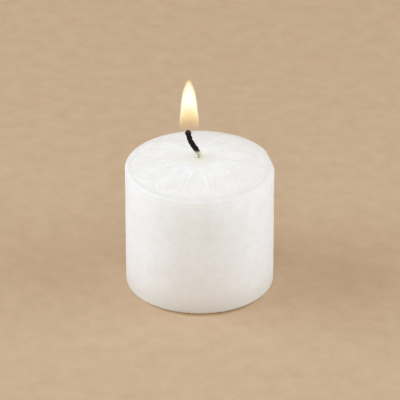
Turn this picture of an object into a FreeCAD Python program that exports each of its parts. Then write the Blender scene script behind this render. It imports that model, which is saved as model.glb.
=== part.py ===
"""Pressed votive candle, lit: wax body, braided wick, wick sustainer and flame.

Frame: millimetres, +Z up, origin at the centre of the base plane that the candle stands on.
The front is towards -Y and the wick curls over towards -X.
"""

import FreeCAD, Part
import math
import os

from FreeCAD import Vector

# Wax body: a granular wax plug pressed in a round die
body_diameter = 38.0
rim_height = 32.65
dome_rise = 2.95
base_edge_bevel = 0.45

# Rim, where the punch met the die: an edge eased in two steps, a narrow lip and the groove inside it
edge_ease = 0.7
edge_step = 0.2
lip_width = 0.2
groove_width = 0.5
groove_depth = 0.12

# Knock on the rim at the right: a small flat that leans in towards the top
dent_azimuth = 12.0
dent_depth = 0.9
dent_lean = 30.0
dent_reach = 12.0

# Petal relief pressed into the dome
petal_count = 12
petal_turn = -2.9
petal_tip_radius = 16.9
petal_apex_radius = 1.5
petal_half_angle = 13.5
petal_height = 0.22
leaf_inner_radius = 6.4
leaf_shoulder_radius = 13.4
leaf_outer_radius = 15.9
leaf_half_width = 1.75
leaf_depth = 0.14

# Shallow dish that the flame has melted round the wick
melt_radius = 5.4
melt_depth = 0.32
melt_shift = -1.6

# Wick: a braided cord, upright in the wax and curled where it has burned
wick_diameter = 1.4
wick_foot_height = 0.3
wick_bend_start = 34.1
wick_lean = 31.0
wick_lean_radius = 6.5
wick_lean_length = 2.15
wick_return_lean = 13.0
wick_return_radius = 4.5
wick_end_length = 1.5
char_bead_diameter = 1.6

# Wick sustainer: a stamped disc with a crimped neck, let into the base
sustainer_diameter = 16.0
sustainer_thickness = 0.25
sustainer_lift = 0.15
sustainer_clearance = 0.2
neck_height = 3.2
neck_wall = 0.35
neck_crimp = 0.12
neck_flare = 0.5

# Flame: the burning gas that hangs on the tip of the wick
flame_radius = 2.6
flame_height = 15.3
flame_belly_height = 1.6
flame_overlap = 0.95
flame_shift = 0.15
flame_foot_radius = 1.8
flame_crown_steps = 4
flame_fullness = 1.4
flame_sharpness = 0.52

body_radius = body_diameter / 2
wick_radius = wick_diameter / 2
dome_edge_radius = body_radius - edge_ease - lip_width - groove_width
dome_sphere_radius = (dome_edge_radius**2 + dome_rise**2) / (2 * dome_rise)
dome_centre_height = rim_height + dome_rise - dome_sphere_radius
dome_top_height = rim_height + dome_rise
sustainer_top = sustainer_lift + sustainer_thickness
neck_top = sustainer_top + neck_height
neck_radius = wick_radius + neck_wall


def point(radius, height):
    """A point of a turned outline, in the X-Z plane."""
    return Vector(radius, 0, height)


def line(start, end):
    """A straight edge."""
    return Part.LineSegment(start, end).toShape()


def arc(start, middle, end):
    """A round edge through three points."""
    return Part.Arc(start, middle, end).toShape()


def turned(edges, axis_x=0.0):
    """The solid made by turning a closed outline about an upright axis."""
    face = Part.Face(Part.Wire(edges))
    return face.revolve(Vector(axis_x, 0, 0), Vector(0, 0, 1), 360)


def ball(radius, centre):
    """A ball whose poles lie level, clear of the faces that it leaves above and below."""
    return Part.makeSphere(radius, centre, Vector(0, 1, 0))


def dome_height_at(radius):
    """The height of the plain dome at a distance from the candle's axis."""
    return dome_centre_height + math.sqrt(dome_sphere_radius**2 - radius**2)


def wax_blank():
    """The pressed plug before its relief: base, side, lip, groove and dome."""
    base_end = point(body_radius - base_edge_bevel, 0)
    side_start = point(body_radius, base_edge_bevel)
    side_end = point(body_radius, rim_height - edge_ease)
    edge_middle = point(body_radius - edge_step, rim_height - edge_step)
    lip_start = point(body_radius - edge_ease, rim_height)
    lip_end = point(dome_edge_radius + groove_width, rim_height)
    groove_floor = point(dome_edge_radius + groove_width / 2, rim_height - groove_depth)
    dome_edge = point(dome_edge_radius, rim_height)
    dome_middle = point(dome_edge_radius / 2, dome_height_at(dome_edge_radius / 2))
    dome_top = point(0, dome_top_height)
    edges = [
        line(point(0, 0), base_end),
        line(base_end, side_start),
        line(side_start, side_end),
        line(side_end, edge_middle),
        line(edge_middle, lip_start),
        line(lip_start, lip_end),
        line(lip_end, groove_floor),
        line(groove_floor, dome_edge),
        arc(dome_edge, dome_middle, dome_top),
        line(dome_top, point(0, 0)),
    ]
    return turned(edges)


def petal_face():
    """One petal in plan: two straight sides that spread from its apex, and a round end."""
    sine = math.sin(math.radians(petal_half_angle))
    end_centre = (petal_tip_radius + petal_apex_radius * sine) / (1 + sine)
    end_radius = petal_tip_radius - end_centre
    touch_x = end_centre - end_radius * sine
    touch_y = end_radius * math.sqrt(1 - sine**2)
    apex = Vector(petal_apex_radius, 0, 0)
    left = Vector(touch_x, touch_y, 0)
    right = Vector(touch_x, -touch_y, 0)
    tip = Vector(petal_tip_radius, 0, 0)
    return Part.Face(Part.Wire([line(apex, right), arc(right, tip, left), line(left, apex)]))


def petal():
    """One raised petal, cut to the curve of the dome, pointing along +X."""
    block = petal_face().extrude(Vector(0, 0, dome_rise + petal_height))
    block.translate(Vector(0, 0, rim_height))
    raised_dome = ball(dome_sphere_radius + petal_height, point(0, dome_centre_height))
    return block.common(raised_dome)


def leaf_hollow():
    """The hollow of the pointed leaf in a petal: a flat floor, sloped as the dome is, swept upwards."""
    inner_height = dome_height_at(leaf_inner_radius)
    slope = (dome_height_at(leaf_outer_radius) - inner_height) / (leaf_outer_radius - leaf_inner_radius)
    outline = [
        (leaf_inner_radius, 0),
        (leaf_shoulder_radius, -leaf_half_width),
        (leaf_outer_radius, 0),
        (leaf_shoulder_radius, leaf_half_width),
    ]
    floor_height = inner_height + petal_height - leaf_depth
    corners = [Vector(x, y, floor_height + slope * (x - leaf_inner_radius)) for x, y in outline]
    return Part.Face(Part.makePolygon(corners + corners[:1])).extrude(Vector(0, 0, dome_rise))


def set_round(first):
    """Copies of a shape that points along +X, one for each petal, set out evenly round the wick."""
    front = -90 + petal_turn
    copies = []
    for index in range(petal_count):
        copy = first.copy()
        copy.rotate(Vector(0, 0, 0), Vector(0, 0, 1), front + index * 360 / petal_count)
        copies.append(copy)
    return copies


def melt_dish():
    """The ball whose lowest cap hollows the dome round the wick."""
    rim_height = dome_height_at(melt_radius)
    ball_radius = (melt_radius**2 + melt_depth**2) / (2 * melt_depth)
    return ball(ball_radius, point(melt_shift, rim_height - melt_depth + ball_radius))


def rim_dent():
    """The block whose inner face leaves the flat on the knocked rim."""
    corner = Vector(0, -dent_reach / 2, -dent_reach / 2)
    block = Part.makeBox(dent_reach, dent_reach, dent_reach, corner)
    block.rotate(Vector(0, 0, 0), Vector(0, 1, 0), -dent_lean)
    block.translate(Vector(body_radius - dent_depth, 0, rim_height))
    block.rotate(Vector(0, 0, 0), Vector(0, 0, 1), dent_azimuth)
    return block


def sustainer_pocket():
    """The recess under the base that takes the sustainer's disc and neck."""
    disc = Part.makeCylinder(sustainer_diameter / 2 + sustainer_clearance, sustainer_top)
    neck = Part.makeCylinder(neck_radius + neck_flare + sustainer_clearance, neck_top)
    return disc.fuse(neck)


def wax_body():
    """The pressed wax body, with its relief, melt dish, knocked rim, wick bore and sustainer recess."""
    body = wax_blank().fuse(set_round(petal()))
    body = body.cut(set_round(leaf_hollow()) + [melt_dish(), rim_dent()])
    bore = Part.makeCylinder(wick_radius, dome_top_height)
    body = body.cut(bore.fuse(sustainer_pocket()))
    return body.cut(wick())


def wick_path():
    """The wick's centre line: upright, leaned over by one bend and set nearly upright by the next."""
    lean = math.radians(wick_lean)
    back = math.radians(wick_return_lean)
    half = lean / 2
    foot = point(0, wick_foot_height)
    bend = point(0, wick_bend_start)

    def on_lean_bend(angle):
        offset = point(-(1 - math.cos(angle)), math.sin(angle)) * wick_lean_radius
        return bend + offset

    leaned = on_lean_bend(lean)
    straight_end = leaned + point(-math.sin(lean), math.cos(lean)) * wick_lean_length

    def on_return_bend(angle):
        offset = point(math.cos(lean) - math.cos(angle), math.sin(lean) - math.sin(angle))
        return straight_end + offset * wick_return_radius

    upright = on_return_bend(back)
    end = upright + point(-math.sin(back), math.cos(back)) * wick_end_length
    edges = [
        line(foot, bend),
        arc(bend, on_lean_bend(half), leaned),
        line(leaned, straight_end),
        arc(straight_end, on_return_bend((lean + back) / 2), upright),
        line(upright, end),
    ]
    return Part.Wire(edges), end


def char_bead(centre):
    """The blunt bead of char that caps the wick: a drum with bevelled edges."""
    radius = char_bead_diameter / 2
    flat = radius * math.tan(math.radians(22.5))
    corners = [
        point(0, -radius),
        point(flat, -radius),
        point(radius, -flat),
        point(radius, flat),
        point(flat, radius),
        point(0, radius),
    ]
    bead = turned([line(a, b) for a, b in zip(corners, corners[1:] + corners[:1])])
    bead.rotate(Vector(0, 0, 0), Vector(0, 1, 0), -wick_return_lean)
    bead.translate(centre)
    return bead


def wick():
    """The braided wick, with the bead of char at its tip."""
    path, end = wick_path()
    circle = Part.makeCircle(wick_radius, point(0, wick_foot_height), Vector(0, 0, 1))
    cord = path.makePipeShell([Part.Wire(circle)], True, False)
    return cord.fuse(char_bead(end)).removeSplitter()


def sustainer_neck_outline():
    """The neck's outer form, filled: a flare at the disc and a crimped waist below the mouth."""
    flare_top = sustainer_top + neck_flare
    corners = [
        point(0, sustainer_lift),
        point(neck_radius + neck_flare, sustainer_lift),
        point(neck_radius + neck_flare, sustainer_top),
        point(neck_radius, flare_top),
        point(neck_radius - neck_crimp, (flare_top + neck_top) / 2),
        point(neck_radius, neck_top),
        point(0, neck_top),
    ]
    return turned([line(a, b) for a, b in zip(corners, corners[1:] + corners[:1])])


def wick_sustainer():
    """The stamped disc that holds the wick's foot in the middle of the base."""
    disc = Part.makeCylinder(sustainer_diameter / 2, sustainer_thickness, point(0, sustainer_lift))
    bore = Part.makeCylinder(wick_radius, neck_top)
    return disc.fuse(sustainer_neck_outline()).cut(bore).removeSplitter()


def flame_radius_at(rise):
    """The flame's radius at a height above its foot, from the belly upwards."""
    share = (rise - flame_belly_height) / (flame_height - flame_belly_height)
    return flame_radius * (1 - share**flame_fullness) ** flame_sharpness


def flame():
    """The flame: a wide-footed body that draws in to a blunt point, hung on the wick's tip."""
    end = wick_path()[1]
    foot = end + point(flame_shift, char_bead_diameter / 2 - flame_overlap)
    quarter = math.pi / 2 / flame_crown_steps
    crown_height = flame_height - flame_belly_height
    rises = [
        flame_belly_height + crown_height * math.sin(step * quarter)
        for step in range(flame_crown_steps)
    ]
    crown = [foot + point(flame_radius_at(rise), rise) for rise in rises]
    corners = [foot, foot + point(flame_foot_radius, 0)] + crown + [foot + point(0, flame_height)]
    edges = [line(a, b) for a, b in zip(corners, corners[1:] + corners[:1])]
    return turned(edges, foot.x).cut(wick())


def main():
    """Writes one STEP file for each piece."""
    pieces = {
        "wax_body": wax_body,
        "wick": wick,
        "wick_sustainer": wick_sustainer,
        "flame": flame,
    }
    os.makedirs("parts", exist_ok=True)
    for name, make in pieces.items():
        shape = make()
        shape.exportStep(f"parts/{name}.step")
        print(f"{name}: {shape.Volume:.2f} mm3, {len(shape.Solids)} solid, valid {shape.isValid()}")


main()
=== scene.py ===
"""The looks of a lit votive candle: pressed wax, braided wick, stamped sustainer and flame.

Lengths in the classes are millimetres, as they would be measured on the bench. A mesh is scaled to
metres when it is made, and a shader takes its lengths in metres. The lamps' places and sizes, the
floor's size and the camera's distance are given in metres.
"""

import logging
import math
from dataclasses import dataclass, field
from enum import Enum

import bpy
import numpy as np
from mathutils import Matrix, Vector, noise


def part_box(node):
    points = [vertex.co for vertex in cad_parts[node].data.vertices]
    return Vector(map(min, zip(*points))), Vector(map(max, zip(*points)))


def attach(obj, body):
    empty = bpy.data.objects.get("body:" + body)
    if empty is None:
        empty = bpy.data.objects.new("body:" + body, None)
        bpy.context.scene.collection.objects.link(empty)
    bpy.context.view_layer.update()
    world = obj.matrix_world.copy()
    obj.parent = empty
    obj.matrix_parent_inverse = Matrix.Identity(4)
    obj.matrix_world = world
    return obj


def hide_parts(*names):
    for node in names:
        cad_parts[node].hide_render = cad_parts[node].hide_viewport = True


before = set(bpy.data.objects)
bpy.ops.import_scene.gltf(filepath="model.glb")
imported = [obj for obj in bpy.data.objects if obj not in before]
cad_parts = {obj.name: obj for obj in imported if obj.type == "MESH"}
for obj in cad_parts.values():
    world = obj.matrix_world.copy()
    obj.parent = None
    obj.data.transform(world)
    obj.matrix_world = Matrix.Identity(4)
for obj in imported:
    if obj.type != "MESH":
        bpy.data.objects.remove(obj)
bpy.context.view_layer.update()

MM = 0.001
BODY = "root"
FULL_TURN = 2.0 * math.pi
QUARTER_TURN = math.pi / 2.0

Colour = tuple[float, float, float]
Place = tuple[float, float, float]
Stops = tuple[tuple[float, Colour], ...]
Outline = list[tuple[float, float]]
Socket = bpy.types.NodeSocket

BLACK: Colour = (0.0, 0.0, 0.0)
WHITE: Colour = (1.0, 1.0, 1.0)

log = logging.getLogger("votive")


class Slot(Enum):
    """The record's material slots."""

    WAX = "wax"
    WICK = "wick_cotton"
    STEEL = "tinned_steel"
    FLAME = "flame_glow"


class Lay(Enum):
    """The two ways that the strands of a braid wind round the cord."""

    RIGHT = 1
    LEFT = -1


def smooth_step(low: float, high: float, value: np.ndarray) -> np.ndarray:
    """A soft rise from 0 at the low value to 1 at the high one."""
    share = np.clip((value - low) / (high - low), 0.0, 1.0)
    return share * share * (3.0 - 2.0 * share)


def ridge_at(distance: np.ndarray, spread: float) -> np.ndarray:
    """A soft round ridge, 1 high at no distance and falling off over its spread."""
    return np.exp(-((distance / spread) ** 2))


def soft_min(first: np.ndarray, second: np.ndarray, reach: float) -> np.ndarray:
    """The lower of two surfaces, blended where their heights differ by less than the reach."""
    share = np.clip(0.5 + 0.5 * (second - first) / reach, 0.0, 1.0)
    return second + (first - second) * share - reach * share * (1.0 - share)


@dataclass(frozen=True)
class Unevenness:
    """Smooth lumps, by their size, a shift that gives a pattern of its own, their strength and middle."""

    size: float
    seed: float
    strength: float
    middle: float = 0.0

    def at(self, places: np.ndarray) -> np.ndarray:
        """The lumps' value at places.

        Args:
            places: The places, one per row.

        Returns:
            A value for each place, from about the strength below the middle to as much above it.
        """
        shifted = places / self.size + self.seed
        values = np.array([noise.noise(Vector(row)) for row in shifted])
        return self.middle + self.strength * values


@dataclass
class MeshParts:
    """Collects closed tubes and loops of rings and makes one object of them."""

    corners: list[np.ndarray] = field(default_factory=list)
    faces: list[list[int]] = field(default_factory=list)
    count: int = 0

    def add_rings(self, rings: np.ndarray, looped: bool = False) -> None:
        """Adds a skin over rings of points.

        Args:
            rings: Points as ring, place in the ring, coordinate.
            looped: Whether the last ring joins the first. Otherwise both ends are capped.
        """
        ring_count, ring_size = rings.shape[:2]
        numbers = self.count + np.arange(ring_count * ring_size).reshape(ring_count, ring_size)
        after = np.roll(numbers, -1, axis=0) if looped else numbers[1:]
        before = numbers if looped else numbers[:-1]
        quads = [before, np.roll(before, -1, axis=1), np.roll(after, -1, axis=1), after]
        self.faces.extend(np.stack(quads, axis=-1).reshape(-1, 4).tolist())
        if not looped:
            self.faces.append(numbers[0][::-1].tolist())
            self.faces.append(numbers[-1].tolist())
        self.corners.append(rings.reshape(-1, 3))
        self.count += ring_count * ring_size

    def make(self, name: str, crease: float) -> bpy.types.Object:
        """Makes the object.

        Args:
            name: The object's name.
            crease: The angle in degrees past which an edge is shaded sharp.

        Returns:
            The object, linked to the scene.
        """
        mesh = bpy.data.meshes.new(name)
        mesh.from_pydata((np.concatenate(self.corners) * MM).tolist(), [], self.faces)
        mesh.shade_smooth()
        mesh.set_sharp_from_angle(angle=math.radians(crease))
        piece = bpy.data.objects.new(name, mesh)
        bpy.context.scene.collection.objects.link(piece)
        return piece


def seat(piece: bpy.types.Object, slot: Slot, *nodes: str) -> None:
    """Gives a piece its place in the frame.

    Args:
        piece: The piece, built where it belongs.
        slot: The record's slot for the piece; not used.
        nodes: The CAD nodes that it stands for.
    """
    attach(piece, BODY)
    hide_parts(*nodes)


class NodeTree:
    """A node tree, with short calls to add and join its nodes."""

    def __init__(self, tree: bpy.types.NodeTree) -> None:
        """Takes over an empty or default tree and clears it."""
        self.tree = tree
        self.tree.nodes.clear()

    def node(self, kind: str, inputs: dict | None = None, **settings: object) -> bpy.types.Node:
        """Adds a node.

        Args:
            kind: The node's type name.
            inputs: For each input's name or number, a value, or the output that feeds it.
            settings: Properties to set on the node.

        Returns:
            The new node.
        """
        made = self.tree.nodes.new(kind)
        for name, value in settings.items():
            setattr(made, name, value)
        for name, value in (inputs or {}).items():
            if isinstance(value, Socket):
                self.tree.links.new(value, made.inputs[name])
            else:
                made.inputs[name].default_value = value
        return made

    def group(self, group: bpy.types.NodeTree, inputs: dict[str, float]) -> bpy.types.Node:
        """Adds a shared group with its own values."""
        return self.node("ShaderNodeGroup", inputs, node_tree=group)

    def ramp(self, factor: Socket, stops: Stops) -> Socket:
        """Adds a colour ramp.

        Args:
            factor: The output that runs along the ramp.
            stops: For each stop, its place and its colour.

        Returns:
            The ramp's colour.
        """
        made = self.node("ShaderNodeValToRGB", {"Fac": factor})
        elements = made.color_ramp.elements
        while len(elements) < len(stops):
            elements.new(1.0)
        for element, (place, colour) in zip(elements, stops):
            element.position = place
            element.color = (*colour, 1.0)
        return made.outputs["Color"]

    def mix(self, factor: object, first: object, second: object, blend: str = "MIX") -> Socket:
        """Mixes two colours.

        Args:
            factor: How much of the second colour shows, as a number or the output that gives it.
            first: A colour, or the output that gives it.
            second: A colour, or the output that gives it.
            blend: Blender's name of the way that they mix.

        Returns:
            The mixed colour.
        """
        made = self.node("ShaderNodeMix", {0: factor}, data_type="RGBA", blend_type=blend)
        for name, value in (("A", first), ("B", second)):
            socket = [s for s in made.inputs if s.name == name and s.type == "RGBA"][0]
            if isinstance(value, Socket):
                self.tree.links.new(value, socket)
            else:
                socket.default_value = (*value, 1.0)
        return [s for s in made.outputs if s.type == "RGBA"][0]

    def math(self, operation: str, first: object, second: object = 0.0) -> Socket:
        """Works out one sum, product or the like of two numbers or of the outputs that give them."""
        return self.node("ShaderNodeMath", {0: first, 1: second}, operation=operation).outputs[0]

    def span(self, value: Socket, low: float, high: float) -> Socket:
        """Spreads a mask from 0 to 1 over the range from low to high."""
        inputs = {"Value": value, "To Min": low, "To Max": high}
        return self.node("ShaderNodeMapRange", inputs).outputs["Result"]

    def bump(self, height: Socket, depth: float, strength: float = 1.0) -> Socket:
        """The normal with fine relief, whose full depth is in millimetres."""
        inputs = {"Height": height, "Distance": depth * MM, "Strength": strength}
        return self.node("ShaderNodeBump", inputs).outputs["Normal"]


def new_group(name: str, inputs: dict[str, float], outputs: list[str]) -> tuple[NodeTree, dict]:
    """Starts a shared shader group with number sockets.

    Args:
        name: The group's name.
        inputs: Each input's name and default value.
        outputs: The names of the outputs.

    Returns:
        The tree to fill, and the group input's sockets by name.
    """
    group = bpy.data.node_groups.new(name, "ShaderNodeTree")
    tree = NodeTree(group)
    for label, value in inputs.items():
        socket = group.interface.new_socket(label, in_out="INPUT", socket_type="NodeSocketFloat")
        socket.default_value = value
    for label in outputs:
        group.interface.new_socket(label, in_out="OUTPUT", socket_type="NodeSocketFloat")
    return tree, tree.node("NodeGroupInput").outputs


class Effects:
    """The shader groups that several finishes share, each built once."""

    noise_roughness: float = 0.55
    ragged_detail: float = 1.0

    def __init__(self) -> None:
        """Builds the groups."""
        self.grain = self._grain()
        self.height_fade = self._height_fade()
        self.radial_fade = self._radial_fade()

    def _grain(self) -> bpy.types.NodeTree:
        """Fine grain, broad mottling and the mean of both, by the size of a grain and a patch in metres.

        Returns:
            The group.
        """
        defaults = {"Grain Size": 0.4 * MM, "Patch Size": 3.0 * MM, "Detail": 2.0}
        tree, given = new_group("grain and mottle", defaults, ["Grain", "Mottle", "Speckle"])
        place = tree.node("ShaderNodeTexCoord").outputs["Object"]
        found = {}
        for label, size in (("Grain", "Grain Size"), ("Mottle", "Patch Size")):
            inputs = {
                "Vector": place,
                "Scale": tree.math("DIVIDE", 1.0, given[size]),
                "Detail": given["Detail"],
                "Roughness": self.noise_roughness,
            }
            found[label] = tree.node("ShaderNodeTexNoise", inputs).outputs["Fac"]
        both = tree.math("ADD", found["Grain"], found["Mottle"])
        found["Speckle"] = tree.math("MULTIPLY", both, 0.5)
        tree.node("NodeGroupOutput", found)
        return tree.tree

    def _height_fade(self) -> bpy.types.NodeTree:
        """A mask that rises from 0 to 1 between two heights, with a ragged front.

        Returns:
            The group.
        """
        defaults = {"Low": 0.0, "High": 1.0, "Ragged": 0.0, "Ragged Size": 1.0 * MM}
        tree, given = new_group("height fade", defaults, ["Fade"])
        place = tree.node("ShaderNodeTexCoord").outputs["Object"]
        height = tree.node("ShaderNodeSeparateXYZ", {0: place}).outputs["Z"]
        scale = tree.math("DIVIDE", 1.0, given["Ragged Size"])
        inputs = {"Vector": place, "Scale": scale, "Detail": self.ragged_detail}
        patch = tree.node("ShaderNodeTexNoise", inputs).outputs["Fac"]
        shift = tree.math("MULTIPLY", tree.math("SUBTRACT", patch, 0.5), given["Ragged"])
        inputs = {
            "Value": tree.math("ADD", height, shift),
            "From Min": given["Low"],
            "From Max": given["High"],
        }
        fade = tree.node("ShaderNodeMapRange", inputs)
        tree.node("NodeGroupOutput", {"Fade": fade.outputs["Result"]})
        return tree.tree

    def _radial_fade(self) -> bpy.types.NodeTree:
        """A mask that falls from 1 to 0 between two distances from an upright axis.

        Returns:
            The group.
        """
        defaults = {"X": 0.0, "Y": 0.0, "Inner": 0.0, "Outer": 1.0}
        tree, given = new_group("radial fade", defaults, ["Mask"])
        place = tree.node("ShaderNodeTexCoord").outputs["Object"]
        parts = tree.node("ShaderNodeSeparateXYZ", {0: place}).outputs
        x = tree.math("SUBTRACT", parts["X"], given["X"])
        y = tree.math("SUBTRACT", parts["Y"], given["Y"])
        square = tree.math("ADD", tree.math("MULTIPLY", x, x), tree.math("MULTIPLY", y, y))
        inputs = {
            "Value": tree.math("SQRT", square),
            "From Min": given["Inner"],
            "From Max": given["Outer"],
            "To Min": 1.0,
            "To Max": 0.0,
        }
        fade = tree.node("ShaderNodeMapRange", inputs, interpolation_type="SMOOTHSTEP")
        tree.node("NodeGroupOutput", {"Mask": fade.outputs["Result"]})
        return tree.tree


class MaterialTree(NodeTree):
    """The node tree of a new material, with the shared groups at hand."""

    def __init__(self, name: str, effects: Effects) -> None:
        """Starts a material with an empty tree.

        Args:
            name: The material's name.
            effects: The shared groups.
        """
        self.material = bpy.data.materials.new(name)
        self.material.use_nodes = True
        self.effects = effects
        super().__init__(self.material.node_tree)

    def finished(self, inputs: dict) -> bpy.types.Material:
        """Closes the material with the main shader.

        Args:
            inputs: The shader's sockets and what each is set to or fed by.

        Returns:
            The material.
        """
        shader = self.node("ShaderNodeBsdfPrincipled", inputs)
        self.node("ShaderNodeOutputMaterial", {"Surface": shader.outputs["BSDF"]})
        return self.material


@dataclass(frozen=True)
class Ring:
    """A round area about an upright axis that fades out between two distances."""

    inner: float
    outer: float
    x: float = 0.0
    y: float = 0.0

    def mask(self, tree: MaterialTree) -> Socket:
        """The area's mask in a material, 1 inside the area."""
        sizes = {"X": self.x * MM, "Y": self.y * MM, "Inner": self.inner * MM, "Outer": self.outer * MM}
        return tree.group(tree.effects.radial_fade, sizes).outputs["Mask"]


@dataclass(frozen=True)
class Rise:
    """A stretch of height over which something sets in, with a front that may be ragged."""

    low: float
    high: float
    ragged: float = 0.0
    ragged_size: float = 1.0

    def mask(self, tree: MaterialTree) -> Socket:
        """The stretch's mask in a material, 0 below the stretch and 1 above it."""
        sizes = {
            "Low": self.low * MM,
            "High": self.high * MM,
            "Ragged": self.ragged * MM,
            "Ragged Size": self.ragged_size * MM,
        }
        return tree.group(tree.effects.height_fade, sizes).outputs["Fade"]


@dataclass(frozen=True)
class Grain:
    """The grain of a surface: the size of a grain and of a patch, and how detailed both are."""

    grain_size: float
    patch_size: float
    detail: float = 2.0

    def outputs(self, tree: MaterialTree) -> dict[str, Socket]:
        """The grain, mottle and speckle in a material, by name."""
        sizes = {"Grain Size": self.grain_size * MM, "Patch Size": self.patch_size * MM}
        return tree.group(tree.effects.grain, {**sizes, "Detail": self.detail}).outputs


@dataclass(frozen=True)
class WaxFinish:
    """White pressed paraffin: granular, softly translucent, melted smooth and yellowish at the wick, with
    painted light and shade on its side and top.
    """

    pressed: Colour = (0.91, 0.93, 0.935)
    side_height: float = 32.65
    # Painted light and shade on the side, multiplied into the pressed colour: a light warm band right at
    # the foot, warm painted floor light and shade just above it, lighter upwards as if lit from above, a
    # little darker just under the rim.
    painted_side_light_and_shade: Stops = (
        (0.0, (1.0, 0.95, 0.84)),
        (0.045, (0.94, 0.87, 0.79)),
        (0.2, (0.965, 0.92, 0.885)),
        (0.5, (0.985, 0.965, 0.955)),
        (0.86, (0.99, 0.98, 0.97)),
        (1.0, (0.96, 0.95, 0.93)),
    )
    # The crown, face and rim colours are painted light and shade on the top: a lighter crown set towards
    # the back, a darker outer face and a darker rim that dull the rim's highlight.
    crown: Colour = (0.925, 0.90, 0.88)
    face: Colour = (0.865, 0.835, 0.81)
    rim: Colour = (0.785, 0.765, 0.74)
    melted: Colour = (0.98, 0.905, 0.845)
    soaked: Colour = (0.98, 0.92, 0.77)
    top_rise: Rise = Rise(31.4, 32.3)
    # The areas of the top's painted lighter crown and painted darker outer face.
    painted_light_crown_area: Ring = Ring(6.0, 19.0, x=1.0, y=4.0)
    painted_shade_face_area: Ring = Ring(15.6, 18.8)
    melted_area: Ring = Ring(3.4, 5.6, x=-1.6)
    soaked_area: Ring = Ring(0.7, 3.2)
    soaked_falloff: float = 1.5
    grain: Grain = Grain(0.42, 3.0)
    grain_shade: Stops = ((0.36, (0.935, 0.93, 0.925)), (0.64, WHITE))
    grain_relief: float = 0.035
    mottle_relief: float = 0.6
    melted_relief: float = 0.15
    polished: float = 0.42
    dull: float = 0.62
    melted_gloss: float = 0.16
    scatter_radius: Colour = (1.0, 0.98, 0.95)
    scatter_scale: float = 8.0
    scatter_at_base: float = 0.2
    scatter_rise: float = 3.5
    refraction: float = 1.44

    def scatter(self, tree: MaterialTree) -> Socket:
        """How much light the wax lets in, which is less close to the base.

        Args:
            tree: The wax's tree.

        Returns:
            The share of the light that is scattered inside.
        """
        place = tree.node("ShaderNodeTexCoord").outputs["Object"]
        height = tree.node("ShaderNodeSeparateXYZ", {0: place}).outputs["Z"]
        inputs = {"Value": height, "From Max": self.scatter_rise * MM, "To Min": self.scatter_at_base}
        return tree.node("ShaderNodeMapRange", inputs).outputs["Result"]

    def colour(self, tree: MaterialTree, speckle: Socket) -> tuple[Socket, Socket]:
        """The wax's colour, with painted light and shade on the side and top, from the base up to the
        melted wax round the wick.

        Args:
            tree: The wax's tree.
            speckle: The output that gives the wax's speckle.

        Returns:
            The colour, and the mask of the melted wax.
        """
        share = Rise(0.0, self.side_height).mask(tree)
        on_top = self.top_rise.mask(tree)
        areas = (self.painted_light_crown_area, self.painted_shade_face_area, self.melted_area, self.soaked_area)
        masks = [tree.math("MULTIPLY", area.mask(tree), on_top) for area in areas]
        crown, face, melted, soaked = masks
        # The side with its painted light and shade.
        side = tree.mix(1.0, self.pressed, tree.ramp(share, self.painted_side_light_and_shade), "MULTIPLY")
        # The top with its painted darker rim and face and its painted lighter crown.
        top = tree.mix(face, self.rim, self.face)
        top = tree.mix(crown, top, self.crown)
        colour = tree.mix(on_top, side, top)
        colour = tree.mix(1.0, colour, tree.ramp(speckle, self.grain_shade), "MULTIPLY")
        colour = tree.mix(melted, colour, self.melted)
        soaked = tree.math("POWER", soaked, self.soaked_falloff)
        return tree.mix(soaked, colour, self.soaked), melted

    def material(self, effects: Effects) -> bpy.types.Material:
        """The wax material.

        Args:
            effects: The shared groups.

        Returns:
            The material.
        """
        tree = MaterialTree("pressed wax", effects)
        grain = self.grain.outputs(tree)
        colour, melted = self.colour(tree, grain["Speckle"])
        polish = tree.math("MULTIPLY", melted, self.melted_gloss)
        roughness = tree.span(grain["Grain"], self.polished, self.dull)
        mottle = tree.math("MULTIPLY", grain["Mottle"], self.mottle_relief)
        height = tree.math("ADD", grain["Grain"], mottle)
        height = tree.math("MULTIPLY", height, tree.span(melted, 1.0, self.melted_relief))
        return tree.finished(
            {
                "Base Color": colour,
                "Roughness": tree.math("SUBTRACT", roughness, polish),
                "Normal": tree.bump(height, self.grain_relief),
                "IOR": self.refraction,
                "Subsurface Weight": self.scatter(tree),
                "Subsurface Radius": self.scatter_radius,
                "Subsurface Scale": self.scatter_scale * MM,
            }
        )


@dataclass(frozen=True)
class WickFinish:
    """Braided cotton: waxed and pale at the foot, scorched brown, then black char with a brownish tip."""

    gap_and_waxed: Stops = ((0.36, (0.34, 0.29, 0.17)), (0.5, (0.76, 0.72, 0.54)))
    scorched: Colour = (0.16, 0.12, 0.04)
    char: Colour = (0.006, 0.0045, 0.003)
    tip: Colour = (0.012, 0.006, 0.003)
    char_rise: Rise = Rise(36.6, 37.4, ragged=0.8, ragged_size=0.5)
    char_falloff: float = 1.4
    tip_rise: Rise = Rise(41.5, 42.5, ragged=0.8)
    grain: Grain = Grain(0.09, 0.5)
    grain_relief: float = 0.03
    relief_strength: float = 0.8
    waxed_roughness: float = 0.45
    char_roughness: float = 0.85
    shine: float = 0.25

    def material(self, effects: Effects) -> bpy.types.Material:
        """The wick material.

        Args:
            effects: The shared groups.

        Returns:
            The material.
        """
        tree = MaterialTree("braided wick", effects)
        grain = self.grain.outputs(tree)
        burned = self.char_rise.mask(tree)
        specks = tree.ramp(grain["Mottle"], self.gap_and_waxed)
        black = tree.mix(self.tip_rise.mask(tree), self.char, self.tip)
        brown = tree.mix(burned, specks, self.scorched)
        return tree.finished(
            {
                "Base Color": tree.mix(tree.math("POWER", burned, self.char_falloff), brown, black),
                "Roughness": tree.span(burned, self.waxed_roughness, self.char_roughness),
                "Normal": tree.bump(grain["Grain"], self.grain_relief, self.relief_strength),
                "Specular IOR Level": self.shine,
            }
        )


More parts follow.
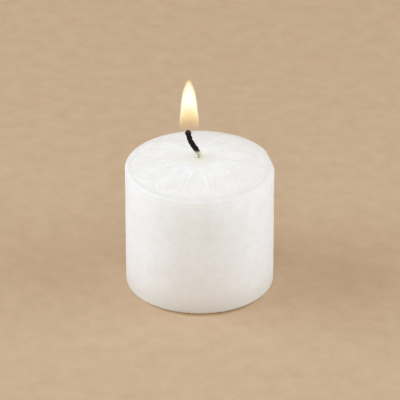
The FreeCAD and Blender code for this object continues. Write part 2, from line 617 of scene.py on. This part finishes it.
@dataclass(frozen=True)
class TinnedSteelFinish:
    """Thin tinned steel with a stamped ring and a fine rolled grain."""

    dull_and_bright: Stops = ((0.3, (0.52, 0.52, 0.50)), (0.7, (0.72, 0.72, 0.71)))
    stamped_ring: Ring = Ring(5.2, 5.9)
    stamp_depth: float = 0.12
    grain: Grain = Grain(0.25, 2.0)
    grain_share: float = 0.1
    smooth: float = 0.22
    rough: float = 0.42

    def material(self, effects: Effects) -> bpy.types.Material:
        """The sheet metal material.

        Args:
            effects: The shared groups.

        Returns:
            The material.
        """
        tree = MaterialTree("tinned steel", effects)
        grain = self.grain.outputs(tree)
        fine = tree.math("MULTIPLY", grain["Grain"], self.grain_share)
        height = tree.math("ADD", fine, self.stamped_ring.mask(tree))
        return tree.finished(
            {
                "Base Color": tree.ramp(grain["Mottle"], self.dull_and_bright),
                "Metallic": 1.0,
                "Roughness": tree.span(grain["Grain"], self.smooth, self.rough),
                "Normal": tree.bump(height, self.stamp_depth),
            }
        )


@dataclass(frozen=True)
class FlameFinish:
    """One shell of the flame: light that is clear at the foot and fades from amber to white."""

    name: str
    strength: float
    thickening: float
    glow: Stops
    density: tuple[tuple[float, float], ...]

    def material(self, effects: Effects, foot: float, tip: float) -> bpy.types.Material:
        """The shell's material: colour and density follow the height, and it is denser edge-on.

        Args:
            effects: The shared groups.
            foot: The height of the flame's foot.
            tip: The height of its tip.

        Returns:
            The material.
        """
        tree = MaterialTree(self.name, effects)
        rise = Rise(foot, tip).mask(tree)
        greys = tuple((place, (density, density, density)) for place, density in self.density)
        edge_on = tree.node("ShaderNodeLayerWeight", {"Blend": 0.5}).outputs["Facing"]
        denser = tree.span(edge_on, 1.0, 1.0 + self.thickening)
        solid = tree.math("MULTIPLY", tree.ramp(rise, greys), denser)
        return tree.finished(
            {
                "Base Color": (*BLACK, 1.0),
                "Roughness": 1.0,
                "Specular IOR Level": 0.0,
                "Emission Color": tree.ramp(rise, self.glow),
                "Emission Strength": self.strength,
                "Alpha": tree.math("MINIMUM", solid, 1.0),
            }
        )


@dataclass(frozen=True)
class PaperFinish:
    """Plain pale kraft paper for the floor, with a painted contact shadow close to the candle's front."""

    dark_and_light: Stops = ((0.35, (0.542, 0.374, 0.236)), (0.65, (0.612, 0.435, 0.285)))
    # A painted contact shadow: the paper's colour darkened in a ring round the candle's foot.
    shade: Colour = (0.62, 0.53, 0.40)
    painted_shadow_area: Ring = Ring(16.0, 17.6, x=0.3, y=-3.2)
    grain: Grain = Grain(0.45, 5.0, detail=3.0)
    grain_relief: float = 0.02
    roughness: float = 0.9
    shine: float = 0.2

    def material(self, effects: Effects) -> bpy.types.Material:
        """The paper material.

        Args:
            effects: The shared groups.

        Returns:
            The material.
        """
        tree = MaterialTree("kraft paper", effects)
        grain = self.grain.outputs(tree)
        colour = tree.ramp(grain["Speckle"], self.dark_and_light)
        # Multiplies in the painted contact shadow in front of the candle's foot.
        colour = tree.mix(self.painted_shadow_area.mask(tree), colour, self.shade, "MULTIPLY")
        return tree.finished(
            {
                "Base Color": colour,
                "Roughness": self.roughness,
                "Specular IOR Level": self.shine,
                "Normal": tree.bump(grain["Grain"], self.grain_relief),
            }
        )


@dataclass
class PetalRelief:
    """The ring of petals pressed into the dome, as a height over the plain dome."""

    count: int = 12
    turn: float = -2.9
    apex_radius: float = 1.5
    tip_radius: float = 16.9
    half_angle: float = 13.5
    ridge_height: float = 0.27
    ridge_spread: float = 0.41
    leaf_inner: float = 6.4
    leaf_shoulder: float = 13.4
    leaf_outer: float = 15.9
    leaf_half_width: float = 1.75
    leaf_height: float = 0.11
    leaf_spread: float = 0.30
    vein_inner: float = 7.4
    vein_outer: float = 13.2
    vein_fade: float = 1.5
    vein_depth: float = 0.07
    vein_spread: float = 0.32

    def folded(self, x: np.ndarray, y: np.ndarray) -> tuple[np.ndarray, np.ndarray]:
        """Folds every petal onto one.

        Args:
            x: Distance to the right of the axis.
            y: Distance behind the axis.

        Returns:
            The distance along the petal's middle line, and the distance from that line.
        """
        pitch = FULL_TURN / self.count
        front = math.radians(self.turn - 90.0)
        angle = (np.arctan2(y, x) - front + pitch / 2.0) % pitch - pitch / 2.0
        radius = np.hypot(x, y)
        return radius * np.cos(angle), np.abs(radius * np.sin(angle))

    def outline_distance(self, along: np.ndarray, across: np.ndarray) -> np.ndarray:
        """The distance from a petal's outline: two straight sides and a round end.

        Args:
            along: Distances along the petal's middle line.
            across: Distances from that line.

        Returns:
            The distance from the outline at each place, negative inside it.
        """
        sine = math.sin(math.radians(self.half_angle))
        cosine = math.cos(math.radians(self.half_angle))
        centre = (self.tip_radius + self.apex_radius * sine) / (1.0 + sine)
        past = (along - self.apex_radius) * cosine + across * sine
        reach = (centre - self.apex_radius) * cosine
        to_side = across * cosine - (along - self.apex_radius) * sine
        to_end = np.hypot(along - centre, across) - (self.tip_radius - centre)
        return np.where(past < reach, to_side, to_end)

    def leaf_distance(self, along: np.ndarray, across: np.ndarray) -> np.ndarray:
        """The distance from the outline of the pointed leaf inside a petal.

        Args:
            along: Distances along the petal's middle line.
            across: Distances from that line.

        Returns:
            The distance from the leaf's outline at each place.
        """
        shoulder = (self.leaf_shoulder, self.leaf_half_width)
        corners = [(self.leaf_inner, 0.0), shoulder, (self.leaf_outer, 0.0)]
        nearest = np.full(along.shape, np.inf)
        for (x0, y0), (x1, y1) in zip(corners, corners[1:]):
            length = math.hypot(x1 - x0, y1 - y0)
            share = ((along - x0) * (x1 - x0) + (across - y0) * (y1 - y0)) / length**2
            share = np.clip(share, 0.0, 1.0)
            gap = np.hypot(along - x0 - share * (x1 - x0), across - y0 - share * (y1 - y0))
            nearest = np.minimum(nearest, gap)
        return nearest

    def height(self, x: np.ndarray, y: np.ndarray) -> np.ndarray:
        """The relief's height over the plain dome.

        Args:
            x: Distance to the right of the axis.
            y: Distance behind the axis.

        Returns:
            The height at each place.
        """
        along, across = self.folded(x, y)
        ridge = ridge_at(self.outline_distance(along, across), self.ridge_spread)
        leaf = ridge_at(self.leaf_distance(along, across), self.leaf_spread)
        vein = ridge_at(across, self.vein_spread)
        vein *= smooth_step(self.vein_inner, self.vein_inner + self.vein_fade, along)
        vein *= 1.0 - smooth_step(self.vein_outer - self.vein_fade, self.vein_outer, along)
        return self.ridge_height * ridge + self.leaf_height * leaf - self.vein_depth * vein


@dataclass
class WaxBody:
    """The pressed wax body: plain side, eased rim and its groove, relief, melt dish, bore and recess."""

    radius: float
    rim_height: float = 32.65
    dome_rise: float = 2.95
    dome_edge: float = 17.6
    relief: PetalRelief = field(default_factory=PetalRelief)
    relief_wear: Unevenness = Unevenness(3.1, 5.0, 0.5, 0.78)

    groove_radius: float = 17.85
    groove_depth: float = 0.05
    groove_spread: float = 0.24
    groove_wear: Unevenness = Unevenness(5.0, 9.0, 0.4, 0.8)
    rim_band: float = 1.0
    rim_round: float = 0.75
    rim_blend: float = 0.4

    flash_reach: float = 0.03
    flash_spread: float = 0.4
    flash_wear: Unevenness = Unevenness(7.0, 4.0, 0.6, 0.7)
    flash_bias: float = 0.3

    melt_radius: float = 5.4
    melt_depth: float = 0.32
    melt_shift: float = -1.6
    melt_blend: float = 0.22
    smooth_inner: float = 4.6
    smooth_outer: float = 8.0
    meniscus_height: float = 0.3
    meniscus_reach: float = 0.45

    dent_azimuth: float = 12.0
    dent_depth: float = 0.9
    dent_lean: float = 30.0
    dent_softness: float = 0.12
    dent_least: float = 1e-4

    bore_radius: float = 0.15
    wick_radius: float = 0.7
    disc_radius: float = 8.2
    disc_height: float = 0.4
    disc_margin: float = 1.0
    neck_radius: float = 1.75
    neck_height: float = 3.6

    base_round: float = 0.25
    chips: Unevenness = Unevenness(1.1, 8.0, 1.0, -0.42)
    chip_depth: float = 0.9
    chip_height: float = 0.9
    chip_inner: float = 17.0
    chip_outer: float = 18.2
    wall_inner: float = 14.2

    top_waves: Unevenness = Unevenness(6.5, 3.0, 0.05)
    top_ripples: Unevenness = Unevenness(1.9, 2.0, 0.035)
    side_waves: Unevenness = Unevenness(9.0, 1.0, 0.05)
    side_ripples: Unevenness = Unevenness(1.6, 6.0, 0.02)

    segments: int = 576
    base_rings: int = 8
    corner_rings: int = 7
    side_rings: int = 22
    rim_rings: int = 8
    shoulder_rings: int = 6
    top_rings: int = 92
    melt_rings: int = 20
    finish: WaxFinish = WaxFinish()

    def plain_top(self, radius: np.ndarray) -> np.ndarray:
        """The dome before any relief, level outside its edge.

        Args:
            radius: Distances from the axis.

        Returns:
            The dome's height at each distance.
        """
        sphere = (self.dome_edge**2 + self.dome_rise**2) / (2.0 * self.dome_rise)
        held = np.minimum(radius, self.dome_edge)
        return self.rim_height + self.dome_rise - sphere + np.sqrt(sphere**2 - held**2)

    def melted_top(self, distance: np.ndarray) -> np.ndarray:
        """The dish that the flame has melted.

        Args:
            distance: Distances from the dish's middle.

        Returns:
            The dish's height at each distance.
        """
        ball = (self.melt_radius**2 + self.melt_depth**2) / (2.0 * self.melt_depth)
        floor = float(self.plain_top(np.array([self.melt_radius]))[0]) - self.melt_depth
        return floor + ball - np.sqrt(np.maximum(ball**2 - distance**2, 0.0))

    def top(self, x: np.ndarray, y: np.ndarray) -> np.ndarray:
        """The finished top: dome, relief, groove, melt dish and the wax drawn up the wick.

        Args:
            x: Distance to the right of the axis.
            y: Distance behind the axis.

        Returns:
            The height at each place.
        """
        radius = np.hypot(x, y)
        places = np.stack([x, y, np.zeros_like(x)], axis=-1)
        melt_distance = np.hypot(x - self.melt_shift, y)
        crisp = smooth_step(self.smooth_inner, self.smooth_outer, melt_distance)
        relief = self.relief.height(x, y) * self.relief_wear.at(places)
        groove = ridge_at(radius - self.groove_radius, self.groove_spread)
        height = self.plain_top(radius) + (relief + self.top_ripples.at(places)) * crisp
        height = height - self.groove_depth * groove * self.groove_wear.at(places)
        height = height + self.top_waves.at(places)
        height = soft_min(height, self.melted_top(melt_distance), self.melt_blend)
        climb = np.exp(-np.maximum(radius - self.wick_radius, 0.0) / self.meniscus_reach)
        return height + self.meniscus_height * climb

    def hollow_outline(self) -> Outline:
        """The outline of the bore's end and the sustainer's recess, down to the base."""
        return [
            (self.bore_radius, self.neck_height),
            (self.neck_radius, self.neck_height),
            (self.neck_radius, self.disc_height),
            (self.disc_radius, self.disc_height),
            (self.disc_radius, 0.0),
        ]

    def outer_outline(self) -> Outline:
        """The outline from the base out, up the side and over the eased rim.

        Returns:
            Points as distance from the axis and height.
        """
        flat_end = self.radius - self.base_round
        rim_start = self.rim_height - self.rim_band
        shoulder_start = self.rim_height - self.rim_round
        flat = np.linspace(self.disc_radius + self.disc_margin, flat_end, self.base_rings)
        outline = [(radius, 0.0) for radius in flat]
        for turn in np.linspace(0.0, QUARTER_TURN, self.corner_rings)[1:]:
            out, up = math.sin(turn), 1.0 - math.cos(turn)
            outline.append((flat_end + self.base_round * out, self.base_round * up))
        side = np.linspace(self.base_round, rim_start, self.side_rings)[1:]
        rim = np.linspace(rim_start, shoulder_start, self.rim_rings)[1:]
        outline += [(self.radius, height) for height in np.concatenate([side, rim])]
        for turn in np.linspace(0.0, QUARTER_TURN, self.shoulder_rings)[1:]:
            inward, up = 1.0 - math.cos(turn), math.sin(turn)
            outline.append((self.radius - self.rim_round * inward, shoulder_start + self.rim_round * up))
        return outline

    def turned(self, outline: Outline, angle: np.ndarray) -> np.ndarray:
        """Turns an outline about the axis.

        Args:
            outline: Points as distance from the axis and height.
            angle: The angles to put it at.

        Returns:
            The rings.
        """
        radius, height = np.array(outline).T[..., None]
        level = np.repeat(height, len(angle), axis=1)
        return np.stack([radius * np.cos(angle), radius * np.sin(angle), level], axis=-1)

    def rings(self) -> np.ndarray:
        """The body's rings, from the neck's bore round by the base, side and top and back down the bore.

        Returns:
            Points as ring, place in the ring, coordinate.
        """
        angle = np.linspace(0.0, FULL_TURN, self.segments, endpoint=False)
        hollow = self.turned(self.hollow_outline(), angle)
        outer = self.worn_side(self.turned(self.outer_outline(), angle))
        reach = self.radius - self.rim_round
        face = np.linspace(reach, self.smooth_inner, self.top_rings)[1:]
        middle = np.linspace(self.smooth_inner, self.bore_radius, self.melt_rings)[1:]
        radii = np.concatenate([face, middle])
        x = radii[:, None] * np.cos(angle)
        y = radii[:, None] * np.sin(angle)
        height = self.top(x.ravel(), y.ravel()).reshape(x.shape)
        weight = smooth_step(0.0, 1.0, (reach - radii) / self.rim_blend)[:, None]
        height = outer[-1][None, :, 2] * (1.0 - weight) + height * weight
        upper = np.stack([x, y, height], axis=-1)
        return self.knocked(np.concatenate([hollow, outer, upper]))

    def worn_side(self, rings: np.ndarray) -> np.ndarray:
        """Gives the side its flash line, faint waves and a chipped base edge.

        Args:
            rings: The side's rings.

        Returns:
            The rings, moved in or out.
        """
        places = rings.reshape(-1, 3)
        radius = np.hypot(places[:, 0], places[:, 1])
        height = places[:, 2]
        flash = ridge_at(height - self.rim_height + self.rim_round, self.flash_spread)
        flash *= self.flash_wear.at(places) - self.flash_bias * places[:, 0] / self.radius
        outward = self.flash_reach * flash
        outward = outward + self.side_waves.at(places) + self.side_ripples.at(places)
        chips = np.clip(self.chips.at(places), 0.0, 1.0)
        near_base = 1.0 - smooth_step(0.0, self.chip_height, height)
        near_edge = smooth_step(self.chip_inner, self.chip_outer, radius)
        outward = outward - self.chip_depth * chips * near_base * near_edge
        on_wall = smooth_step(self.wall_inner, self.radius - self.base_round, radius)
        moved = places.copy()
        moved[:, :2] *= (1.0 + outward * on_wall / radius)[:, None]
        return moved.reshape(rings.shape)

    def knocked(self, rings: np.ndarray) -> np.ndarray:
        """Presses the rim flat where it took a knock.

        Args:
            rings: All the body's rings.

        Returns:
            The rings, with what stood past the flat laid onto it.
        """
        turn = math.radians(self.dent_azimuth)
        lean = math.radians(self.dent_lean)
        outward = np.array([math.cos(turn), math.sin(turn), 0.0])
        facing = outward * math.cos(lean) + np.array([0.0, 0.0, math.sin(lean)])
        spot = outward * (self.radius - self.dent_depth) + np.array([0.0, 0.0, self.rim_height])
        past = (rings - spot) @ facing
        laid = self.dent_softness * np.logaddexp(0.0, past / self.dent_softness)
        return rings - np.where(laid > self.dent_least, laid, 0.0)[..., None] * facing

    def build(self) -> bpy.types.Object:
        """The wax body's mesh.

        Returns:
            The wax body.
        """
        parts = MeshParts()
        parts.add_rings(self.rings(), looped=True)
        return parts.make("wax_relief_body", crease=50.0)

    def dress(self, piece: bpy.types.Object, effects: Effects) -> None:
        """Gives the wax its finish and its place in the frame."""
        piece.data.materials.append(self.finish.material(effects))
        seat(piece, Slot.WAX, "wax_body")


def lumps_each_way(size: float, strength: float, *seeds: float) -> tuple[Unevenness, ...]:
    """Lumps that push a place sideways, back and up, each with a pattern of its own."""
    return tuple(Unevenness(size, seed, strength) for seed in seeds)


@dataclass
class BraidedWick:
    """The wick: strands braided over a core, upright in the wax and curled where it has burned."""

    foot: float = 0.3
    bend_start: float = 34.1
    lean: float = 31.0
    lean_radius: float = 6.5
    lean_length: float = 2.15
    return_lean: float = 13.0
    return_radius: float = 4.5
    end_length: float = 1.5
    ring_spacing: float = 0.11

    core_radius: float = 0.49
    core_sides: int = 20
    strand_path_radius: float = 0.50
    strand_weave: float = 0.06
    strand_width: float = 0.27
    strand_thickness: float = 0.16
    strand_sides: int = 8
    strands_each_way: int = 4
    turns_per_mm: float = 0.22

    bead_radius: float = 0.8
    bead_width: float = 0.97
    bead_levels: int = 20
    bead_sides: int = 28
    char_low: float = 36.6
    char_high: float = 38.1
    char_lumps: tuple[Unevenness, ...] = lumps_each_way(0.62, 0.10, 11.0, 23.0, 37.0)
    char_crumbs: tuple[Unevenness, ...] = lumps_each_way(0.23, 0.05, 41.0, 53.0, 67.0)
    finish: WickFinish = WickFinish()

    def centre_line(self) -> tuple[np.ndarray, np.ndarray, np.ndarray]:
        """The wick's centre line.

        Returns:
            The points, the lean at each point in radians, and the distance run so far.
        """
        lean, back = math.radians(self.lean), math.radians(self.return_lean)
        runs = [
            self.bend_start - self.foot,
            self.lean_radius * lean,
            self.lean_length,
            self.return_radius * (lean - back),
            self.end_length,
        ]
        knots = np.concatenate([[0.0], np.cumsum(runs)])
        distance = np.linspace(0.0, knots[-1], int(knots[-1] / self.ring_spacing))
        angle = np.interp(distance, knots, [0.0, 0.0, lean, lean, back, back])
        step = np.diff(distance, prepend=0.0)
        x = np.cumsum(-np.sin(angle) * step)
        z = self.foot + np.cumsum(np.cos(angle) * step)
        return np.stack([x, np.zeros_like(x), z], axis=-1), angle, distance

    def tube(self, centres: np.ndarray, wide: np.ndarray, deep: np.ndarray, sides: int) -> np.ndarray:
        """Rings round a line's points, by the vectors to their side and top and the points in a ring."""
        turn = np.linspace(0.0, FULL_TURN, sides, endpoint=False)[None, :, None]
        return centres[:, None] + wide[:, None] * np.cos(turn) + deep[:, None] * np.sin(turn)

    def across(self, lean: np.ndarray) -> tuple[np.ndarray, np.ndarray]:
        """For each lean, the directions across the wick, one in its curl's plane and one through it."""
        in_plane = np.stack([np.cos(lean), np.zeros_like(lean), np.sin(lean)], axis=-1)
        return in_plane, np.tile([0.0, 1.0, 0.0], (len(lean), 1))

    def core(self) -> np.ndarray:
        """The core's rings.

        Returns:
            The rings, from foot to tip.
        """
        points, lean, _ = self.centre_line()
        in_plane, through = self.across(lean)
        return self.tube(points, in_plane * self.core_radius, through * self.core_radius, self.core_sides)

    def strand(self, lay: Lay, index: int) -> np.ndarray:
        """One strand of the braid.

        Args:
            lay: The way that the strand winds.
            index: Its place among the strands that wind the same way.

        Returns:
            The strand's rings.
        """
        points, lean, distance = self.centre_line()
        in_plane, through = self.across(lean)
        rate = FULL_TURN * self.turns_per_mm
        turn = lay.value * rate * distance + FULL_TURN * index / self.strands_each_way
        crossing = np.cos(self.strands_each_way * rate * distance)
        radius = self.strand_path_radius + lay.value * self.strand_weave * crossing
        outward = in_plane * np.cos(turn)[:, None] + through * np.sin(turn)[:, None]
        centres = points + outward * radius[:, None]
        wide = np.cross(np.gradient(centres, axis=0), outward)
        wide *= self.strand_width / np.linalg.norm(wide, axis=1)[:, None]
        return self.tube(centres, wide, outward * self.strand_thickness, self.strand_sides)

    def bead(self) -> np.ndarray:
        """The lump of char at the tip.

        Returns:
            The lump's rings, from its underside to its top.
        """
        rise = np.linspace(-QUARTER_TURN, QUARTER_TURN, self.bead_levels)[1:-1]
        level = np.zeros((len(rise), 3))
        level[:, 2] = np.sin(rise) * self.bead_radius
        level += self.centre_line()[0][-1]
        size = (np.cos(rise) * self.bead_radius * self.bead_width)[:, None]
        wide, deep = size * np.array([1.0, 0.0, 0.0]), size * np.array([0.0, 1.0, 0.0])
        return self.tube(level, wide, deep, self.bead_sides)

    def charred(self, rings: np.ndarray) -> np.ndarray:
        """Roughens the burned part.

        Args:
            rings: Any rings of the wick.

        Returns:
            The rings, with lumps and crumbs where the wick is char.
        """
        places = rings.reshape(-1, 3)
        burned = smooth_step(self.char_low, self.char_high, places[:, 2])
        shift = np.stack([lumps.at(places) for lumps in self.char_lumps], axis=-1)
        shift += np.stack([crumbs.at(places) for crumbs in self.char_crumbs], axis=-1)
        return (places + shift * burned[:, None]).reshape(rings.shape)

    def build(self) -> bpy.types.Object:
        """The wick's mesh.

        Returns:
            The wick.
        """
        parts = MeshParts()
        parts.add_rings(self.charred(self.core()))
        for lay in Lay:
            for index in range(self.strands_each_way):
                parts.add_rings(self.charred(self.strand(lay, index)))
        parts.add_rings(self.charred(self.bead()))
        return parts.make("wick_braid", crease=60.0)

    def dress(self, piece: bpy.types.Object, effects: Effects) -> None:
        """Gives the wick its finish and its place in the frame."""
        piece.data.materials.append(self.finish.material(effects))
        seat(piece, Slot.WICK, "wick")


@dataclass
class Sustainer:
    """The stamped sustainer under the wax, which its own CAD node shows."""

    node: str = "wick_sustainer"
    finish: TinnedSteelFinish = TinnedSteelFinish()

    def build(self) -> bpy.types.Object:
        """The sustainer as packed."""
        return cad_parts[self.node]

    def dress(self, piece: bpy.types.Object, effects: Effects) -> None:
        """Gives the sustainer its finish.

        Args:
            piece: The sustainer.
            effects: The shared groups.
        """
        piece.data.materials.clear()
        piece.data.materials.append(self.finish.material(effects))


def flame_finishes() -> dict[float, FlameFinish]:
    """The flame's shells, from the outermost in.

    Returns:
        For each shell's share of the flame's size, its finish.
    """
    amber = (
        (0.1, (1.0, 0.68, 0.37)),
        (0.29, (1.0, 0.75, 0.41)),
        (0.43, (1.0, 0.89, 0.56)),
        (0.58, (1.0, 0.98, 0.78)),
        (0.76, (1.0, 0.92, 0.61)),
        (0.86, (0.94, 0.76, 0.42)),
        (1.0, (0.86, 0.55, 0.26)),
    )
    white = (
        (0.1, (0.21, 0.15, 0.09)),
        (0.27, (0.2, 0.09, 0.04)),
        (0.43, (0.59, 0.36, 0.04)),
        (0.51, (0.66, 0.53, 0.35)),
        (0.6, (0.7, 0.61, 0.79)),
        (0.78, (0.69, 0.68, 0.77)),
        (1.0, (0.63, 0.65, 0.32)),
    )
    thin = ((0.08, 0.0), (0.26, 0.04), (0.5, 0.04), (0.76, 0.15), (0.91, 0.03), (1.0, 0.16))
    full = ((0.145, 0.0), (0.32, 0.29), (0.46, 0.43), (0.58, 0.33), (1.0, 0.27))
    heart = ((0.11, 0.0), (0.2, 0.28), (0.34, 0.45), (0.54, 0.3), (0.76, 0.33), (1.0, 0.24))
    return {
        1.0: FlameFinish("flame edge", strength=1.08, thickening=2.5, glow=amber, density=thin),
        0.91: FlameFinish("flame mantle", strength=1.08, thickening=2.5, glow=amber, density=full),
        0.76: FlameFinish("flame heart", strength=2.4, thickening=0.0, glow=white, density=heart),
    }


@dataclass
class Flame:
    """The flame: nested shells of light, so that its edge is soft from every side."""

    foot_x: float
    foot_z: float
    height: float
    radius: float = 2.635
    foot_radius: float = 1.84
    belly: float = 1.6
    fullness: float = 1.49
    sharpness: float = 0.505
    lean: float = 0.13
    tip_share: float = 0.9995
    foot_pinch: float = 0.2
    shell_drop: float = 0.12
    sides: int = 56
    levels: int = 64
    finishes: dict[float, FlameFinish] = field(default_factory=flame_finishes)

    def profile(self, rise: np.ndarray) -> np.ndarray:
        """The flame's outline.

        Args:
            rise: Heights above its foot.

        Returns:
            The flame's radius at each height.
        """
        left = 1.0 - np.clip(rise / self.belly, 0.0, 1.0)
        lower = self.foot_radius + (self.radius - self.foot_radius) * np.sqrt(1.0 - left**2)
        share = np.clip((rise - self.belly) / (self.height - self.belly), 0.0, 1.0)
        upper = self.radius * (1.0 - share**self.fullness) ** self.sharpness
        return np.where(rise < self.belly, lower, upper)

    def shell(self, part: float) -> np.ndarray:
        """One shell.

        Args:
            part: Its size as a share of the whole flame's.

        Returns:
            The shell's rings, from foot to tip.
        """
        turn = np.linspace(0.0, QUARTER_TURN, self.levels)
        share = np.concatenate([[0.0], np.sin(turn[1:-1]), [self.tip_share]])
        rise = share * self.height
        size = self.profile(rise) * part
        size[0] *= self.foot_pinch
        height = self.foot_z + rise * (1.0 - self.shell_drop * (1.0 - part))
        middle = self.foot_x + self.lean * (1.0 - share)
        angle = np.linspace(0.0, FULL_TURN, self.sides, endpoint=False)
        x = middle[:, None] + size[:, None] * np.cos(angle)
        y = size[:, None] * np.sin(angle)
        return np.stack([x, y, np.repeat(height[:, None], self.sides, axis=1)], axis=-1)

    def build(self) -> bpy.types.Object:
        """The flame's mesh, each shell with a material slot of its own.

        Returns:
            The flame.
        """
        parts = MeshParts()
        shell_of_face = []
        for number, part in enumerate(self.finishes):
            parts.add_rings(self.shell(part))
            shell_of_face += [number] * (len(parts.faces) - len(shell_of_face))
        piece = parts.make("flame_shells", crease=180.0)
        piece.data.polygons.foreach_set("material_index", shell_of_face)
        piece.visible_shadow = False
        return piece

    def dress(self, piece: bpy.types.Object, effects: Effects) -> None:
        """Gives each shell its finish, and the flame its place in the frame.

        Args:
            piece: The flame.
            effects: The shared groups.
        """
        tip = self.foot_z + self.height
        for finish in self.finishes.values():
            piece.data.materials.append(finish.material(effects, self.foot_z, tip))
        seat(piece, Slot.FLAME, "flame")


@dataclass
class Lamp:
    """One large soft lamp that faces the candle, with its place and size in metres."""

    name: str
    place: Place
    width: float
    height: float
    watts: float

    def build(self, target: Vector, tint: Colour) -> None:
        """Adds the lamp, turned to the target and unseen by the camera.

        Args:
            target: The place that it faces.
            tint: The colour of its light.
        """
        data = bpy.data.lights.new(self.name, "AREA")
        data.shape = "RECTANGLE"
        data.size, data.size_y = self.width, self.height
        data.energy = self.watts
        data.color = tint
        lamp = bpy.data.objects.new(self.name, data)
        lamp.location = self.place
        lamp.rotation_euler = (target - lamp.location).to_track_quat("-Z", "Y").to_euler()
        lamp.visible_camera = False
        bpy.context.scene.collection.objects.link(lamp)


@dataclass
class Studio:
    """Floor, lamps, ambient light and camera."""

    centre_height: float = 17.0
    elevation: float = 29.674
    distance: float = 1.0
    lens: float = 351.0
    sensor_width: float = 36.0
    aim_right: float = 0.087
    aim_up: float = 4.813
    floor_size: float = 6.0
    ambient: float = 0.486
    ambient_tint: Colour = (1.0, 0.84, 0.63)
    lamp_tint: Colour = (0.675, 0.825, 1.0)
    backdrop: Colour = (0.571, 0.407, 0.270)
    paper: PaperFinish = PaperFinish()
    lamps: tuple[Lamp, ...] = (
        Lamp("left softbox", (-0.89, 0.0, 0.47), width=0.9, height=0.9, watts=9.4),
        Lamp("right softbox", (0.9, -0.1, 0.45), width=0.9, height=0.9, watts=7.3),
        Lamp("low front fill", (0.1, -0.7, 0.25), width=0.5, height=0.3, watts=0.7),
        Lamp("high front softbox", (0.0, -0.8, 0.8), width=0.8, height=0.5, watts=2.6),
    )

    def light(self) -> None:
        """Lights the set: softboxes, and an even ambient light with a backdrop that the camera sees."""
        target = Vector((0.0, 0.0, self.centre_height * MM))
        for lamp in self.lamps:
            lamp.build(target, self.lamp_tint)
        world = bpy.data.worlds.new("studio")
        bpy.context.scene.world = world
        world.use_nodes = True
        tree = NodeTree(world.node_tree)
        rays = tree.node("ShaderNodeLightPath").outputs
        seen = tree.math("MAXIMUM", rays["Is Camera Ray"], rays["Is Glossy Ray"])
        seen = tree.math("MAXIMUM", seen, rays["Is Transmission Ray"])
        sides = [
            tree.node("ShaderNodeBackground", {"Color": (*colour, 1.0), "Strength": strength})
            for colour, strength in ((self.ambient_tint, self.ambient), (self.backdrop, 1.0))
        ]
        soft, shown = [side.outputs["Background"] for side in sides]
        both = tree.node("ShaderNodeMixShader", {0: seen, 1: soft, 2: shown})
        tree.node("ShaderNodeOutputWorld", {"Surface": both.outputs["Shader"]})

    def floor(self, effects: Effects) -> None:
        """Lays the paper floor, flat and large.

        Args:
            effects: The shared groups.
        """
        reach = self.floor_size / 2.0
        mesh = bpy.data.meshes.new("paper_floor")
        ways = ((-1.0, -1.0), (1.0, -1.0), (1.0, 1.0), (-1.0, 1.0))
        mesh.from_pydata([(x * reach, y * reach, 0.0) for x, y in ways], [], [(0, 1, 2, 3)])
        floor = bpy.data.objects.new("paper_floor", mesh)
        floor.data.materials.append(self.paper.material(effects))
        bpy.context.scene.collection.objects.link(floor)

    def camera(self) -> None:
        """Sets the camera a metre off, looking down on the candle."""
        data = bpy.data.cameras.new("camera")
        data.lens = self.lens
        data.sensor_width = self.sensor_width
        camera = bpy.data.objects.new("camera", data)
        slope = math.radians(self.elevation)
        back = Vector((0.0, -math.cos(slope), math.sin(slope)))
        up = Vector((0.0, math.sin(slope), math.cos(slope)))
        aim = Vector((self.aim_right, 0.0, self.centre_height)) * MM + up * self.aim_up * MM
        camera.location = aim + back * self.distance
        camera.rotation_euler = (-back).to_track_quat("-Z", "Y").to_euler()
        bpy.context.scene.collection.objects.link(camera)
        bpy.context.scene.camera = camera


def main() -> None:
    """Builds and dresses the candle's pieces in order, then sets up the studio round it."""
    logging.basicConfig(level=logging.INFO, format="%(message)s")
    bpy.context.scene.view_settings.view_transform = "Standard"
    effects = Effects()
    wax_low, wax_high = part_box("wax_body")
    low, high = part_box("flame")
    foot, tip = low.z / MM, high.z / MM
    candle = (
        WaxBody(radius=(wax_high.x - wax_low.x) / 2.0 / MM),
        BraidedWick(),
        Sustainer(),
        Flame(foot_x=(low.x + high.x) / 2.0 / MM, foot_z=foot, height=tip - foot),
    )
    for part in candle:
        piece = part.build()
        part.dress(piece, effects)
        log.info("%s: %d faces", piece.name, len(piece.data.polygons))

    studio = Studio()
    studio.floor(effects)
    studio.light()
    studio.camera()


if __name__ == "__main__":
    main()
